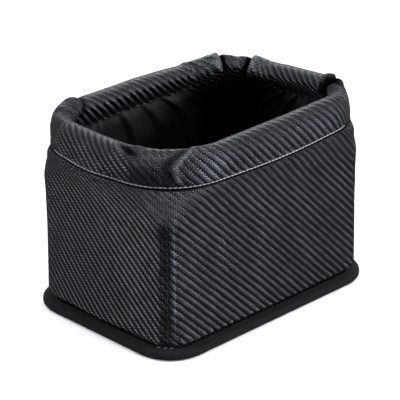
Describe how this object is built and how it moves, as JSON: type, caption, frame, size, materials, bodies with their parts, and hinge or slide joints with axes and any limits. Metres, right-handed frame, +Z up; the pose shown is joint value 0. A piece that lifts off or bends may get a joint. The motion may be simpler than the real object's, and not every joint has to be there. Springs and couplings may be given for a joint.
{
  "type": "car bin",
  "caption": "Soft-sided open bin for a car, with padded leathercloth walls, a gathered rolled rim, a waterproof lining and a stiff bound base.",
  "frame": {"origin": "middle of the underside of the bound base, on the floor it stands on", "axes": "+Z up, +X along the long side, +Y from the front long side to the back one"},
  "size_m": [0.21, 0.148, 0.146],
  "materials": {
    "leathercloth": "semi-gloss, embossed with a fine twill",
    "lining": "coated, slightly shiny",
    "tape": "matt, ribbed",
    "foam": "matt",
    "board": "matt",
    "wire": "bright drawn"
  },
  "bodies": {
    "root": {"outer_sleeve": "leathercloth", "wall_pad_front": "foam", "wall_pad_back": "foam", "wall_pad_left": "foam", "wall_pad_right": "foam", "lining_wall": "lining", "lining_floor": "lining", "rim_foam": "foam", "rim_hoop": "wire", "base_board": "board", "base_cover": "leathercloth", "base_binding": "tape"}
  },
  "joints": []
}
